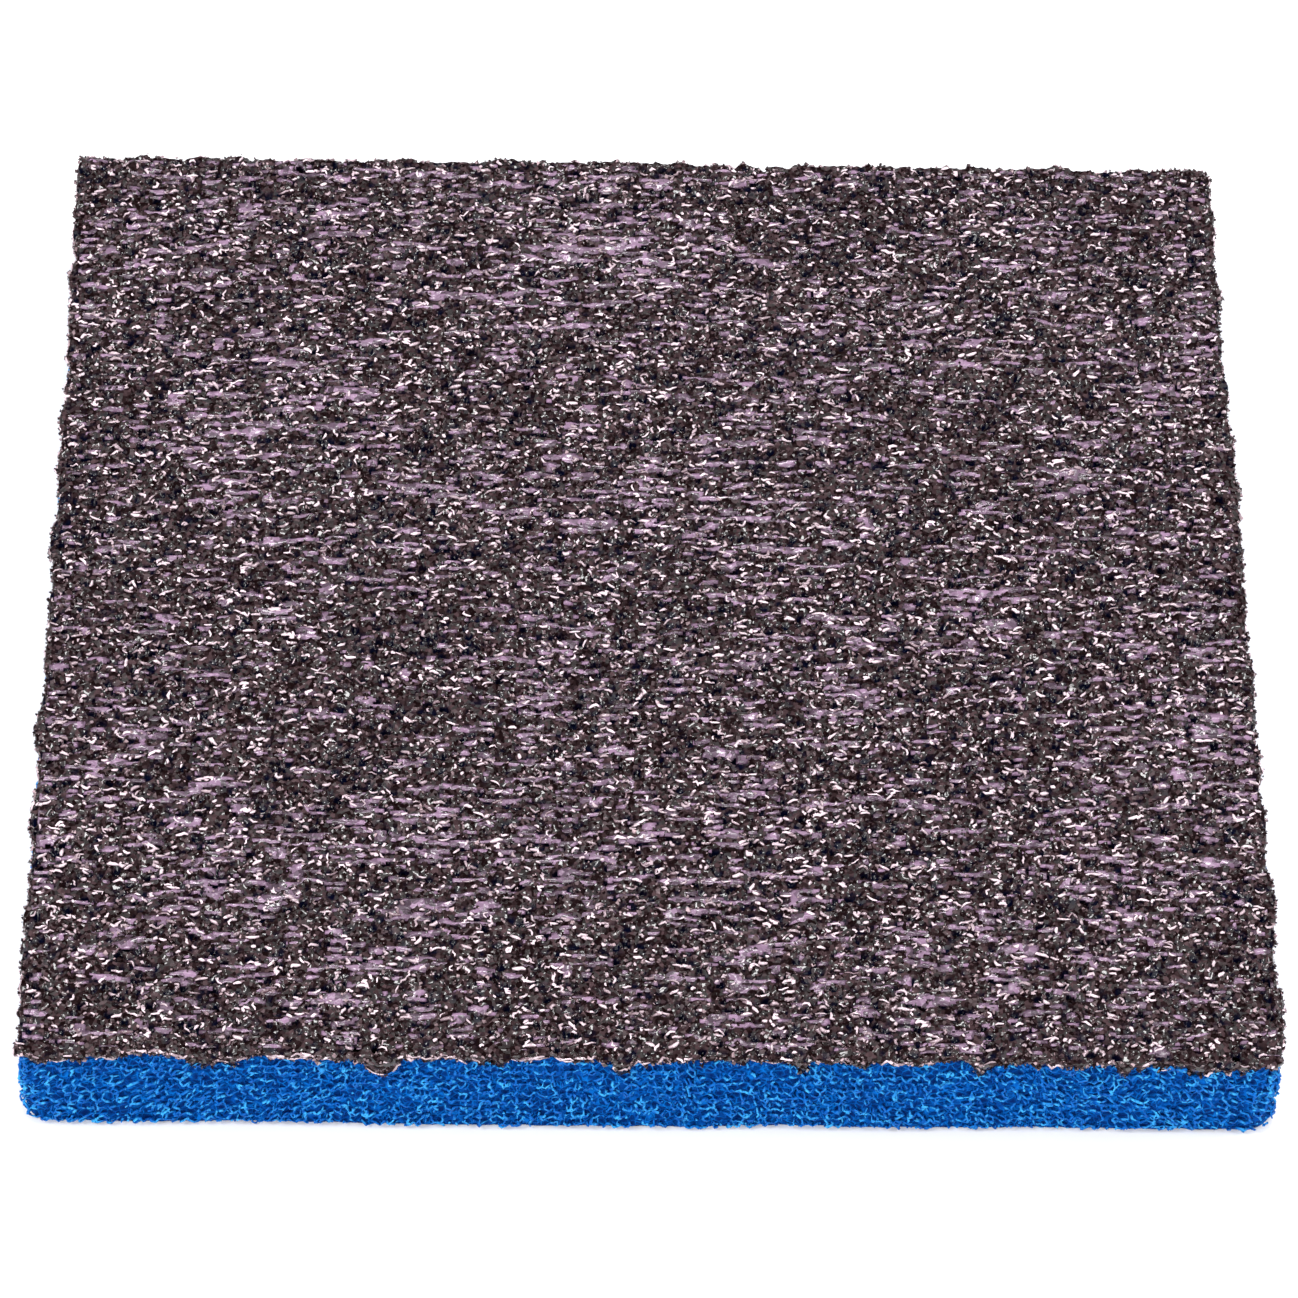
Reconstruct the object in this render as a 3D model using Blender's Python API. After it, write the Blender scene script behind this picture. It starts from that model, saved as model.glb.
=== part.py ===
"""A flexible foam sanding pad: a slab of open-cell foam with an abrasive coating on its top face.

The pad is four separate solids, from the bottom up: the foam core, the make coat that is bonded
to it, the bed of abrasive grains, and the size coat that locks the grains. It is in metres with
+Z up. The origin is in the middle of the underside, and the pad is longest along X.
"""

import math

import bmesh
import bpy
from mathutils import Vector

# The whole pad
PAD_WIDTH = 0.120
PAD_DEPTH = 0.112
PAD_THICKNESS = 0.013

# The coating, from the top down, with the clearance that keeps two layers apart
SIZE_COAT_THICKNESS = 0.0003
GRAIN_THICKNESS = 0.0004
MAKE_COAT_THICKNESS = 0.0004
LAYER_GAP = 0.0003

# The coating's cut edge wanders inwards between its four sharp corners
EDGE_WANDER = 0.0008
EDGE_PITCH = 0.003
LONG_WAVE = 0.019
SHORT_WAVE = 0.0067

# The foam stops short of the coating, swells towards its foot and is round where it meets the table
FOAM_INSET = 0.0006
FOAM_SWELL = 0.0005
BOTTOM_ROUND = 0.0012
TOP_CORNER_RADIUS = 0.0012
BOTTOM_CORNER_RADIUS = 0.0030
SIDE_STEPS = 8
CORNER_STEPS = 6
ROUND_STEPS = 6
WALL_STEPS = 8

SIZE_COAT_TOP = PAD_THICKNESS
GRAIN_TOP = SIZE_COAT_TOP - SIZE_COAT_THICKNESS - LAYER_GAP
MAKE_COAT_TOP = GRAIN_TOP - GRAIN_THICKNESS - LAYER_GAP
FOAM_TOP = MAKE_COAT_TOP - MAKE_COAT_THICKNESS - LAYER_GAP

# Each finish is a colour, a roughness and a metallic value
FINISHES = {
    "blue_foam": ((0.012, 0.118, 0.420), 0.90, 0.0),
    "make_coat_resin": ((0.030, 0.019, 0.020), 0.45, 0.0),
    "abrasive_grain": ((0.115, 0.082, 0.088), 0.35, 0.0),
    "size_coat_resin": ((0.165, 0.110, 0.150), 0.22, 0.0),
}


def clear_scene():
    """Removes every object, so that the pad is all that the file holds."""
    for scene_object in list(bpy.data.objects):
        bpy.data.objects.remove(scene_object)


def make_finish(name):
    """A Principled material with the colour, roughness and metallic value of one finish."""
    colour, roughness, metallic = FINISHES[name]
    material = bpy.data.materials.new(name)
    material.use_nodes = True
    shader = material.node_tree.nodes["Principled BSDF"]
    shader.inputs["Base Color"].default_value = (*colour, 1.0)
    shader.inputs["Roughness"].default_value = roughness
    shader.inputs["Metallic"].default_value = metallic
    return material


def add_piece(name, shape, finish_name, pad):
    """Turns a bmesh into a named object with its own finish, as a child of the pad's empty."""
    bmesh.ops.recalc_face_normals(shape, faces=shape.faces)
    mesh = bpy.data.meshes.new(name)
    shape.to_mesh(mesh)
    shape.free()
    mesh.materials.append(make_finish(finish_name))
    piece = bpy.data.objects.new(name, mesh)
    piece.parent = pad
    bpy.context.scene.collection.objects.link(piece)
    return piece


def corner_arc(corner, half_width, half_depth, radius):
    """The points of one rounded corner, anticlockwise. Corner 0 is at +X +Y, corner 1 at -X +Y."""
    sign_x = (1, -1, -1, 1)[corner]
    sign_y = (1, 1, -1, -1)[corner]
    centre = Vector((sign_x * (half_width - radius), sign_y * (half_depth - radius)))
    quarter = math.pi / 2
    angles = [quarter * (corner + step / CORNER_STEPS) for step in range(CORNER_STEPS + 1)]
    return [centre + radius * Vector((math.cos(a), math.sin(a))) for a in angles]


def rounded_outline(half_width, half_depth, radius):
    """The points of a rounded rectangle, anticlockwise, with the same count at any size."""
    arcs = [corner_arc(corner, half_width, half_depth, radius) for corner in range(4)]
    points = []
    for arc, next_arc in zip(arcs, arcs[1:] + arcs[:1]):
        points += arc
        points += [arc[-1].lerp(next_arc[0], step / SIDE_STEPS) for step in range(1, SIDE_STEPS)]
    return points


def foam_heights():
    """Each ring's height up the foam's side, and how far the bottom round draws it in."""
    rings = []
    for step in range(ROUND_STEPS):
        angle = math.pi / 2 * step / ROUND_STEPS
        rings.append((BOTTOM_ROUND * (1 - math.cos(angle)), BOTTOM_ROUND * (1 - math.sin(angle))))
    wall = FOAM_TOP - BOTTOM_ROUND
    rings += [(BOTTOM_ROUND + wall * step / WALL_STEPS, 0.0) for step in range(WALL_STEPS + 1)]
    return rings


def build_foam_core(pad):
    """The foam slab, lofted up its side from the flat underside to the flat top."""
    shape = bmesh.new()
    loops = []
    for height, rounding in foam_heights():
        share = height / FOAM_TOP
        inset = FOAM_INSET + rounding - FOAM_SWELL * math.cos(math.pi / 2 * share)
        radius = BOTTOM_CORNER_RADIUS + (TOP_CORNER_RADIUS - BOTTOM_CORNER_RADIUS) * share
        outline = rounded_outline(PAD_WIDTH / 2 - inset, PAD_DEPTH / 2 - inset, radius)
        loops.append([shape.verts.new((point.x, point.y, height)) for point in outline])
    shape.faces.new(reversed(loops[0]))
    shape.faces.new(loops[-1])
    for lower, upper in zip(loops, loops[1:]):
        for here, there in zip(range(len(lower)), list(range(1, len(lower))) + [0]):
            shape.faces.new((lower[here], lower[there], upper[there], upper[here]))
    foam = add_piece("foam_core", shape, "blue_foam", pad)
    foam.data.shade_smooth()
    foam.data.set_sharp_from_angle(angle=math.radians(40))


def wander(distance, phase):
    """How far in a cut edge has wandered at this distance along a side, from 0 to 1."""
    long_wave = math.sin(math.tau * distance / LONG_WAVE + phase)
    short_wave = math.sin(math.tau * distance / SHORT_WAVE + 2 * phase)
    return 0.5 + 0.3 * long_wave + 0.2 * short_wave


def ragged_outline(phase):
    """The points of a coating layer's outline, anticlockwise from the corner at +X +Y."""
    corners = [Vector((sign_x * PAD_WIDTH / 2, sign_y * PAD_DEPTH / 2))
               for sign_x, sign_y in ((1, 1), (-1, 1), (-1, -1), (1, -1))]
    points = []
    for side, (start, end) in enumerate(zip(corners, corners[1:] + corners[:1])):
        run = end - start
        inwards = Vector((-run.y, run.x)).normalized()
        steps = round(run.length / EDGE_PITCH)
        points.append(start)
        for step in range(1, steps):
            share = step / steps
            depth = EDGE_WANDER * wander(run.length * share, phase + side)
            points.append(start + run * share + inwards * depth)
    return points


def build_layer(name, top, thickness, phase, pad, finish_name):
    """One layer of the coating: a ragged sheet, extruded up to its own thickness."""
    shape = bmesh.new()
    bottom = [shape.verts.new((point.x, point.y, top - thickness)) for point in ragged_outline(phase)]
    sheet = shape.faces.new(bottom)
    raised = bmesh.ops.extrude_face_region(shape, geom=[sheet])["geom"]
    raised_points = [item for item in raised if isinstance(item, bmesh.types.BMVert)]
    bmesh.ops.translate(shape, verts=raised_points, vec=(0, 0, thickness))
    add_piece(name, shape, finish_name, pad)


def build_pad():
    """Builds the four pieces under one empty, from the underside up."""
    clear_scene()
    pad = bpy.data.objects.new("sanding_pad", None)
    bpy.context.scene.collection.objects.link(pad)
    build_foam_core(pad)
    build_layer("make_coat", MAKE_COAT_TOP, MAKE_COAT_THICKNESS, 0.4, pad, "make_coat_resin")
    build_layer("grain_layer", GRAIN_TOP, GRAIN_THICKNESS, 2.1, pad, "abrasive_grain")
    build_layer("size_coat", SIZE_COAT_TOP, SIZE_COAT_THICKNESS, 3.7, pad, "size_coat_resin")


build_pad()
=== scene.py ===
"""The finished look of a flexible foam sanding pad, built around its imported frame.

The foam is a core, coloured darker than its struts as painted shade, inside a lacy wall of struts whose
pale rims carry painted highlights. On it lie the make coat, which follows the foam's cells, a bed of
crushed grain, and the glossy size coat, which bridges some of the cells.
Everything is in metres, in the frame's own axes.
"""

import itertools
import logging
import math
from dataclasses import dataclass
from enum import Enum, IntEnum

import bpy
import numpy as np
from mathutils import Matrix, Vector


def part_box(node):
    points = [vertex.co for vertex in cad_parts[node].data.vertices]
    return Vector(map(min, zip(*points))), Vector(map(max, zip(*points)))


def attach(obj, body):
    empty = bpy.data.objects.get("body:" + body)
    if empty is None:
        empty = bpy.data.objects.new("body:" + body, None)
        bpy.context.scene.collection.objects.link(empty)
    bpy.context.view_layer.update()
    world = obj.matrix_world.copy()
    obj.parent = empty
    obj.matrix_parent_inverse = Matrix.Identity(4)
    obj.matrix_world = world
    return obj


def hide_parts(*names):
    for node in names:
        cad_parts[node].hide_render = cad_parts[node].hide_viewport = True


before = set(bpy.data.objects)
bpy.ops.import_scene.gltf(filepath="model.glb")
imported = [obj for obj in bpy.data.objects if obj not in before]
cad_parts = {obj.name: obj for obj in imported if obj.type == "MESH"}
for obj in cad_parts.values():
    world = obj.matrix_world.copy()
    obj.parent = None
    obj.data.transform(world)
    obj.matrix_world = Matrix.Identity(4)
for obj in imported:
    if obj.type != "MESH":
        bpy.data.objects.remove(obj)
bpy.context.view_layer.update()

Array = np.ndarray
Colour = tuple[float, float, float]
Material = bpy.types.Material
Node = bpy.types.Node
Piece = bpy.types.Object
Socket = bpy.types.NodeSocket
Tree = bpy.types.NodeTree

MM = 0.001
QUARTER = math.pi / 2
CORNER_SIGNS = np.array(((1, 1), (-1, 1), (-1, -1), (1, -1)), float)
# The sockets of a Mix node that mixes colours
MIX_SHARE, MIX_FIRST, MIX_SECOND, MIX_RESULT = 0, 6, 7, 2
LOG = logging.getLogger("sanding_pad")


class Seed(IntEnum):
    """One seed for each independent random pattern."""

    COAT_SWELL = 3
    COAT_LUMPS = 4
    BASE_CELLS = 5
    GRAIN = 7
    SIDE_WANDER = 11
    CURLS = 19
    CORE_PITS = 23
    STRUTS = 31
    FLOW_AROUND = 32
    FLOW_UP = 33
    EDGE_LONG = 51
    EDGE_SHORT = 52
    FLAPS = 53
    FRINGE = 54
    SKIN_BEND = 71
    SKIN_BROAD = 72
    SKIN_FINE = 73
    SKIN_PATCHES = 74
    COAT_CELLS = 77


# ---------- Repeatable noise


def lattice_random(cells: Array, seed: int) -> Array:
    """A repeatable random value for each whole-number lattice point.

    Args:
        cells: Whole numbers, one row for each point.
        seed: Picks one of many independent patterns.

    Returns:
        One value from 0 to 1 for each row.
    """
    factors = np.array((73856093, 19349663, 83492791), np.uint64)[: cells.shape[-1]]
    mixed = (cells.astype(np.uint64) * factors).sum(-1, dtype=np.uint64)
    mixed += np.uint64(seed * 2654435761 + 97)
    for shift, factor in ((33, 0xFF51AFD7ED558CCD), (29, 0xC4CEB9FE1A85EC53)):
        mixed = (mixed ^ (mixed >> np.uint64(shift))) * np.uint64(factor)
    return (mixed >> np.uint64(40)).astype(float) / float(1 << 24)


def smooth_noise(points: Array, seed: int) -> Array:
    """Smooth noise with about one wave in each unit of length.

    Args:
        points: One row of one to three coordinates for each point.
        seed: Picks one of many independent patterns.

    Returns:
        One value from 0 to 1 for each row.
    """
    low = np.floor(points).astype(np.int64)
    blend = points - low
    blend = blend * blend * (3 - 2 * blend)
    total = np.zeros(len(points))
    for corner in itertools.product((0, 1), repeat=points.shape[1]):
        weight = np.prod(np.where(corner, blend, 1 - blend), axis=1)
        total += weight * lattice_random(low + np.array(corner), seed)
    return total


def smooth_step(value: Array, low: float, high: float) -> Array:
    """Rises smoothly from 0 at low to 1 at high."""
    share = np.clip((value - low) / (high - low), 0, 1)
    return share * share * (3 - 2 * share)


# ---------- Meshes


def mesh_piece(name: str, points: Array, faces: list[Array], smooth: bool) -> Piece:
    """Makes an object from points and blocks of faces.

    Args:
        name: The object's name.
        points: One row of x, y and z for each point.
        faces: Blocks of faces, each with the same number of corners on every row.
        smooth: Whether the faces are shaded smooth.

    Returns:
        The object, linked into the scene.
    """
    mesh = bpy.data.meshes.new(name)
    mesh.from_pydata(points.tolist(), [], [row for block in faces for row in block.tolist()])
    if smooth:
        mesh.shade_smooth()
    piece = bpy.data.objects.new(name, mesh)
    bpy.context.scene.collection.objects.link(piece)
    return piece


def store_mask(piece: Piece, name: str, values: Array) -> None:
    """Stores one value on each point of a piece, for its material to read by this name."""
    attribute = piece.data.attributes.new(name, "FLOAT", "POINT")
    attribute.data.foreach_set("value", values.astype(np.float32))


def tube_piece(name: str, lines: Array, radii: Array, sides: int, seed: int) -> Piece:
    """Makes one object from many thin closed tubes.

    Args:
        name: The object's name.
        lines: The tubes' middle lines, with axes tube, joint and place.
        radii: The radius at each joint of each tube.
        sides: The number of sides of a tube.
        seed: Picks how each tube is rolled about its own length.

    Returns:
        The object, linked into the scene.
    """
    rng = np.random.default_rng(seed)
    count, joints = lines.shape[:2]
    along = np.gradient(lines, axis=1)
    along /= np.linalg.norm(along, axis=2, keepdims=True) + 1e-12
    steep = np.abs(along[..., 2]).max(axis=1) > 0.9
    helper = np.where(steep[:, None], (1.0, 0.0, 0.0), (0.0, 0.0, 1.0))[:, None]
    side = np.cross(along, helper)
    side /= np.linalg.norm(side, axis=2, keepdims=True) + 1e-12
    other = np.cross(along, side)
    roll = rng.uniform(0, math.tau, (count, 1)) + np.arange(sides) * math.tau / sides
    turn = np.stack([np.cos(roll), np.sin(roll)], axis=-1)[:, None]
    ring = turn[..., :1] * side[:, :, None] + turn[..., 1:] * other[:, :, None]
    points = lines[:, :, None] + ring * radii[:, :, None, None]
    first = joints * sides * np.arange(count)[:, None]
    here = np.arange(sides)
    there = (here + 1) % sides
    walls = []
    for joint in range(joints - 1):
        ring_start = joint * sides
        quad = np.stack([here, there, there + sides, here + sides], axis=1) + ring_start
        walls.append((first[:, None] + quad).reshape(-1, 4))
    caps = np.concatenate([first + here[::-1], first + (joints - 1) * sides + here])
    return mesh_piece(name, points.reshape(-1, 3), [*walls, caps], smooth=True)


@dataclass
class CellSheet:
    """A flat sheet of foam cells: jittered seeds on a triangular lattice, and the walls between.

    The sheet covers 0 to length along its first direction and 0 to height along its second.
    """

    length: float
    height: float
    pitch: float
    jitter: float
    seed: int
    margin: int = 4

    def __post_init__(self) -> None:
        """Places the seeds."""
        rng = np.random.default_rng(self.seed)
        self.row_step = self.pitch * math.sqrt(3) / 2
        self.columns = math.ceil(self.length / self.pitch) + 2 * self.margin
        self.rows = math.ceil(self.height / self.row_step) + 2 * self.margin
        column, row = np.meshgrid(np.arange(self.columns), np.arange(self.rows))
        across = (column - self.margin + 0.5 * (row % 2)) * self.pitch
        upward = (row - self.margin) * self.row_step
        shift = rng.uniform(-self.jitter, self.jitter, (self.rows, self.columns, 2)) * self.pitch
        self.seeds = np.stack([across, upward], axis=-1) + shift

    def nearest(self, across: Array, upward: Array) -> tuple[Array, Array, Array]:
        """Finds the cell that each point is in.

        Args:
            across: The points' places along the sheet's first direction.
            upward: Their places along its second.

        Returns:
            The distance to the nearest seed, the distance to the next one, and the cell's number.
        """
        best = np.full(across.shape, np.inf)
        second = np.full(across.shape, np.inf)
        cell = np.zeros(across.shape, np.int64)
        middle_row = np.rint(upward / self.row_step).astype(int) + self.margin
        for row_shift, column_shift in itertools.product(range(-2, 3), range(-2, 3)):
            row = np.clip(middle_row + row_shift, 0, self.rows - 1)
            column = np.rint(across / self.pitch - 0.5 * (row % 2)).astype(int) + self.margin
            column = np.clip(column + column_shift, 0, self.columns - 1)
            seeds = self.seeds[row, column]
            distance = np.hypot(across - seeds[..., 0], upward - seeds[..., 1])
            closer = distance < best
            second = np.where(closer, best, np.minimum(second, distance))
            cell = np.where(closer, row * self.columns + column, cell)
            best = np.where(closer, distance, best)
        return best, second, cell


# ---------- Shader node groups


class GroupBuilder:
    """Builds one shader node group with named inputs and outputs."""

    def __init__(self, name: str, inputs: dict[str, float | tuple], outputs: dict[str, str]) -> None:
        """Starts a group.

        Args:
            name: The group's name.
            inputs: Each input's name, with its usual number or colour.
            outputs: Each output's name, with its kind of socket.
        """
        self.tree = bpy.data.node_groups.new(name, "ShaderNodeTree")
        for label, value in inputs.items():
            kind = "NodeSocketFloat" if isinstance(value, float) else "NodeSocketColor"
            socket = self.tree.interface.new_socket(label, in_out="INPUT", socket_type=kind)
            socket.default_value = value
        for label, kind in outputs.items():
            self.tree.interface.new_socket(label, in_out="OUTPUT", socket_type="NodeSocket" + kind)
        self.source = self.tree.nodes.new("NodeGroupInput")
        self.target = self.tree.nodes.new("NodeGroupOutput")

    def __getitem__(self, label: str) -> Socket:
        """The socket that carries one of the group's inputs."""
        return self.source.outputs[label]

    def node(self, kind: str, links: dict[str | int, object], **settings: object) -> Node:
        """Adds a node, as add_node does."""
        return add_node(self.tree, kind, links, **settings)

    def math(self, operation: str, *values: object) -> Socket:
        """Adds a Math node on sockets or numbers and returns its output."""
        return self.node("ShaderNodeMath", dict(enumerate(values)), operation=operation).outputs[0]

    def vector(self, operation: str, links: dict[str | int, object]) -> Socket:
        """Adds a Vector Math node and returns its output."""
        return self.node("ShaderNodeVectorMath", links, operation=operation).outputs["Vector"]

    def remap(self, value: Socket, low: float, high: float, start: float = 0.0) -> Socket:
        """Adds a node that maps low to the start, 0 or 1, and high to the other one."""
        links = {"Value": value, "From Min": low, "From Max": high, "To Min": start, "To Max": 1.0 - start}
        return self.node("ShaderNodeMapRange", links).outputs["Result"]

    def give(self, label: str, socket: Socket) -> None:
        """Links a socket to one of the group's outputs."""
        self.tree.links.new(socket, self.target.inputs[label])


def add_node(tree: Tree, kind: str, links: dict[str | int, object],
             **settings: object) -> Node:
    """Adds a node to a tree, sets its properties and fills its inputs.

    Args:
        tree: The material's tree or a group's.
        kind: The node's Blender type.
        links: For each input, a socket to link to it or a plain value.
        settings: The node's own properties.

    Returns:
        The node.
    """
    node = tree.nodes.new(kind)
    for name, value in settings.items():
        setattr(node, name, value)
    for key, value in links.items():
        if isinstance(value, Socket):
            tree.links.new(value, node.inputs[key])
        else:
            node.inputs[key].default_value = value
    return node


def mix_colours(tree: Tree, share: Socket, first: object,
                second: object) -> Socket:
    """Adds a node that mixes a share of the second colour into the first, and returns its output."""
    links = {MIX_SHARE: share, MIX_FIRST: first, MIX_SECOND: second}
    return add_node(tree, "ShaderNodeMix", links, data_type="RGBA").outputs[MIX_RESULT]


def colour(*channels: float) -> tuple[float, float, float, float]:
    """A colour socket's value from linear red, green and blue."""
    return (*channels, 1.0)


def build_crystal_group() -> Tree:
    """The crushed look: small flat facets that each have their own tint, tilt and gloss."""
    group = GroupBuilder(
        "crystal_facets",
        {
            "Facet Size": 0.25 * MM,
            "Tilt": 0.5,
            "Contrast": 1.0,
            "Dark": colour(0.02, 0.014, 0.015),
            "Light": colour(0.2, 0.15, 0.16),
        },
        {"Tint": "Color", "Gloss": "Float", "Wet": "Float", "Normal": "Vector"},
    )
    place = group.node("ShaderNodeTexCoord", {}).outputs["Object"]
    scale = group.math("DIVIDE", 1.0, group["Facet Size"])
    cells = group.node("ShaderNodeTexVoronoi", {"Vector": place, "Scale": scale}).outputs["Color"]
    parts = group.node("ShaderNodeSeparateColor", {"Color": cells})
    share = group.math("POWER", parts.outputs["Red"], group["Contrast"])
    centred = group.vector("SUBTRACT", {0: cells, 1: (0.5, 0.5, 0.5)})
    tilt = group.vector("SCALE", {0: centred, "Scale": group["Tilt"]})
    surface = group.node("ShaderNodeNewGeometry", {})
    leaning = group.vector("ADD", {0: surface.outputs["Normal"], 1: tilt})
    group.give("Tint", mix_colours(group.tree, share, group["Dark"], group["Light"]))
    group.give("Gloss", parts.outputs["Green"])
    group.give("Wet", group.remap(parts.outputs["Blue"], 0.55, 0.75))
    group.give("Normal", group.vector("NORMALIZE", {0: leaning}))
    return group.tree


def build_foam_group() -> Tree:
    """The foam's cells: pale rims with painted highlights round hollows with painted shade, the painted
    highlights coming and going in slow patches.
    """
    group = GroupBuilder(
        "foam_cells",
        {
            "Cell Size": 1.0 * MM,
            "Rim Highlight": colour(0.1, 0.4, 0.8),
            "Wall": colour(0.01, 0.12, 0.45),
            "Hollow Shade": colour(0.0, 0.02, 0.13),
        },
        {"Colour": "Color", "Height": "Float"},
    )
    place = group.node("ShaderNodeTexCoord", {}).outputs["Object"]
    scale = group.math("DIVIDE", 1.0, group["Cell Size"])
    links = {"Vector": place, "Scale": scale}
    edge = group.node("ShaderNodeTexVoronoi", links, feature="DISTANCE_TO_EDGE").outputs["Distance"]
    links = {"Vector": place, "Scale": group.math("MULTIPLY", scale, 0.7)}
    highlight_patches = group.node("ShaderNodeTexNoise", links).outputs["Fac"]
    # Painted highlight on the cell rims, and painted shade deepening towards the middle of each hollow.
    rim = group.remap(edge, 0.06, 0.22, start=1.0)
    hollow_shade = group.remap(edge, 0.1, 0.35)
    inside = mix_colours(group.tree, hollow_shade, group["Wall"], group["Hollow Shade"])
    # The painted highlight shows only in slow patches of the noise.
    rim_highlight = group.math("MULTIPLY", rim, group.remap(highlight_patches, 0.42, 0.62))
    group.give("Colour", mix_colours(group.tree, rim_highlight, inside, group["Rim Highlight"]))
    group.give("Height", rim)
    return group.tree


def build_lump_group() -> Tree:
    """Wet lumps: soft rounded swellings with finer ones on top."""
    group = GroupBuilder("wet_lumps", {"Lump Size": 0.3 * MM}, {"Height": "Float"})
    place = group.node("ShaderNodeTexCoord", {}).outputs["Object"]
    scale = group.math("DIVIDE", 1.0, group["Lump Size"])
    links = {"Vector": place, "Scale": scale, "Detail": 1.0, "Roughness": 0.45}
    broad = group.node("ShaderNodeTexNoise", links).outputs["Fac"]
    links = {"Vector": place, "Scale": group.math("MULTIPLY", scale, 0.8)}
    beads = group.node("ShaderNodeTexVoronoi", links).outputs["Distance"]
    rounded = group.math("SUBTRACT", 1.0, group.math("POWER", beads, 2.0))
    group.give("Height", group.math("ADD", broad, group.math("MULTIPLY", rounded, 0.7)))
    return group.tree


class Effect(Enum):
    """The node groups that several finishes share."""

    CRYSTAL = "crystal_facets"
    FOAM = "foam_cells"
    LUMPS = "wet_lumps"

    def tree(self) -> Tree:
        """The group's tree, which is built the first time."""
        builders = {
            Effect.CRYSTAL: build_crystal_group,
            Effect.FOAM: build_foam_group,
            Effect.LUMPS: build_lump_group,
        }
        return bpy.data.node_groups.get(self.value) or builders[self]()


# ---------- Finishes


def place_effect(tree: Tree, effect: Effect, values: dict[str, object]) -> Node:
    """Places a shared group in a material, with the material's own values for its inputs."""
    return add_node(tree, "ShaderNodeGroup", values, node_tree=effect.tree())


def new_material(name: str, roughness: float, **sockets: float) -> tuple[Material, Node]:
    """Makes a material with one Principled shader.

    Args:
        name: The material's name.
        roughness: The shader's roughness.
        sockets: Values for more of the shader's sockets, with underscores for spaces.

    Returns:
        The material and its shader.
    """
    material = bpy.data.materials.new(name)
    material.use_nodes = True
    shader = material.node_tree.nodes["Principled BSDF"]
    shader.inputs["Roughness"].default_value = roughness
    for socket, value in sockets.items():
        shader.inputs[socket.replace("_", " ")].default_value = value
    return material, shader


@dataclass(frozen=True)
class FoamFinish:
    """Open-cell polyurethane foam, with painted highlights on its cell rims and painted shade in its
    hollows.
    """

    name: str
    # The rim colour is a painted highlight and the hollow colour painted shade; the wall colour is the
    # foam's own blue.
    rim: Colour
    wall: Colour
    hollow_shade: Colour
    cell_size: float
    roughness: float
    relief: float
    sheen: float

    def material(self) -> Material:
        """Builds the material."""
        material, shader = new_material(self.name, self.roughness, Specular_IOR_Level=self.sheen)
        tree = material.node_tree
        values = {
            "Cell Size": self.cell_size,
            "Rim Highlight": colour(*self.rim),
            "Wall": colour(*self.wall),
            "Hollow Shade": colour(*self.hollow_shade),
        }
        cells = place_effect(tree, Effect.FOAM, values)
        links = {"Height": cells.outputs["Height"], "Distance": self.relief}
        bump = add_node(tree, "ShaderNodeBump", links)
        tree.links.new(cells.outputs["Colour"], shader.inputs["Base Color"])
        tree.links.new(bump.outputs["Normal"], shader.inputs["Normal"])
        return material


@dataclass(frozen=True)
class CoatingFinish:
    """Resin or crushed grain: small facets of many tints, with wet lumps under a gloss."""

    name: str
    dark: Colour
    light: Colour
    facet_size: float
    tilt: float
    smoothest: float
    roughest: float
    lump_size: float = 0.3 * MM
    lump_height: float = 0.0
    sheen: float = 0.5
    contrast: float = 1.0
    # A pit colour is painted shade in the cell pits, partly the dark blue foam that shows through them.
    pit: Colour | None = None

    def material(self) -> Material:
        """Builds the material."""
        material, shader = new_material(
            self.name, self.roughest, Specular_IOR_Level=self.sheen, Coat_Roughness=self.smoothest
        )
        tree = material.node_tree
        values = {
            "Facet Size": self.facet_size,
            "Tilt": self.tilt,
            "Contrast": self.contrast,
            "Dark": colour(*self.dark),
            "Light": colour(*self.light),
        }
        facets = place_effect(tree, Effect.CRYSTAL, values)
        links = {"Value": facets.outputs["Gloss"], "To Min": self.smoothest, "To Max": self.roughest}
        gloss = add_node(tree, "ShaderNodeMapRange", links)
        tint = facets.outputs["Tint"]
        # Painted shade: the pit colour darkens the tint where the cell pits open deepest.
        if self.pit is not None:
            depth = add_node(tree, "ShaderNodeAttribute", {}, attribute_name="pit").outputs["Fac"]
            tint = mix_colours(tree, depth, tint, colour(*self.pit))
        facing = facets.outputs["Normal"]
        if self.lump_height > 0:
            lumps = place_effect(tree, Effect.LUMPS, {"Lump Size": self.lump_size})
            relief = lumps.outputs["Height"]
            links = {"Height": relief, "Distance": self.lump_height, "Normal": facing}
            facing = add_node(tree, "ShaderNodeBump", links).outputs["Normal"]
        tree.links.new(tint, shader.inputs["Base Color"])
        tree.links.new(gloss.outputs["Result"], shader.inputs["Roughness"])
        tree.links.new(facets.outputs["Wet"], shader.inputs["Coat Weight"])
        tree.links.new(facing, shader.inputs["Normal"])
        return material


# The core's darker blues are painted shade: the same foam as the struts, coloured as if in shade behind
# them.
SHADED_CORE_FOAM = FoamFinish(
    "core_foam_painted_shade",
    rim=(0.0012, 0.115, 0.450),
    wall=(0.0004, 0.052, 0.265),
    hollow_shade=(0.0001, 0.013, 0.090),
    cell_size=0.7 * MM,
    roughness=0.8,
    relief=0.25 * MM,
    sheen=0.03,
)
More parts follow.
